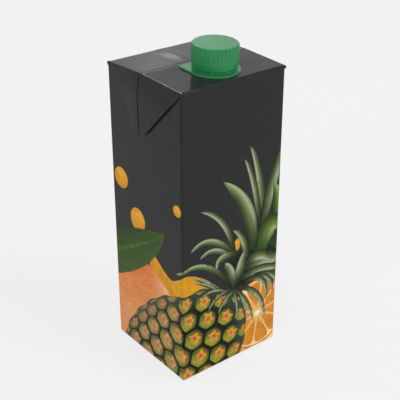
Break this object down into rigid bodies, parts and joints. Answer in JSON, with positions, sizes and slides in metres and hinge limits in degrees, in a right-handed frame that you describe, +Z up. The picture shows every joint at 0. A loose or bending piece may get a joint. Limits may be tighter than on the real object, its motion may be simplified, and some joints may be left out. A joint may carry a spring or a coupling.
{
  "type": "juice carton",
  "caption": "Shut brick carton of juice with folded ears, a seal fin and a ribbed green screw cap on a glued spout.",
  "frame": {"origin": "middle of the underside, at the height of the surface that the carton stands on", "axes": "+Z up; -Y out of the broad front panel; -X and +X out of the narrower panels with the folded ears; +Y out of the panel with the overlap seam"},
  "size_m": [0.083, 0.0728, 0.2124],
  "materials": {
    "board": "glossy laminated print, black with fruit",
    "spout_plastic": "satin moulded polyethylene, green",
    "cap_plastic": "satin moulded polyethylene, green"
  },
  "bodies": {
    "root": {"carton": "board", "spout": "spout_plastic", "cap": "cap_plastic"}
  },
  "joints": []
}
